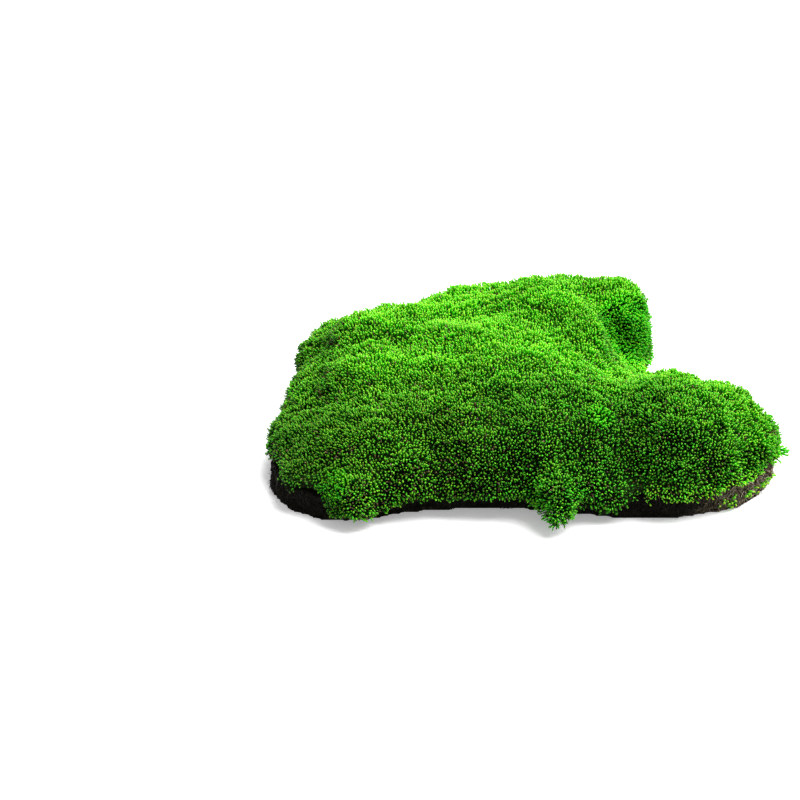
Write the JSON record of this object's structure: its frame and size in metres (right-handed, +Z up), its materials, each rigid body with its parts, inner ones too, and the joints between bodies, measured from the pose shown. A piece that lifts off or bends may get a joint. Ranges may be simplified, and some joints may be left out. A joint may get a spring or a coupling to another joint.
{
  "type": "moss clump",
  "caption": "Clump of fine green cushion moss on a thin mat of dark soil, lifted from the ground and cut flat underneath.",
  "frame": {"origin": "on the surface the clump rests on, under the middle of its box", "axes": "+X along the clump's long way, towards its narrow arm; +Y towards its back; +Z up out of the moss"},
  "size_m": [0.2072, 0.1658, 0.0498],
  "materials": {
    "moss": "fine upright shoots, bright yellow-green at the tips and dark between them",
    "soil": "dull, crumbly dark brown earth bound by fine roots"
  },
  "bodies": {
    "root": {"moss_cushion": "moss", "soil_mat": "soil"}
  },
  "joints": []
}
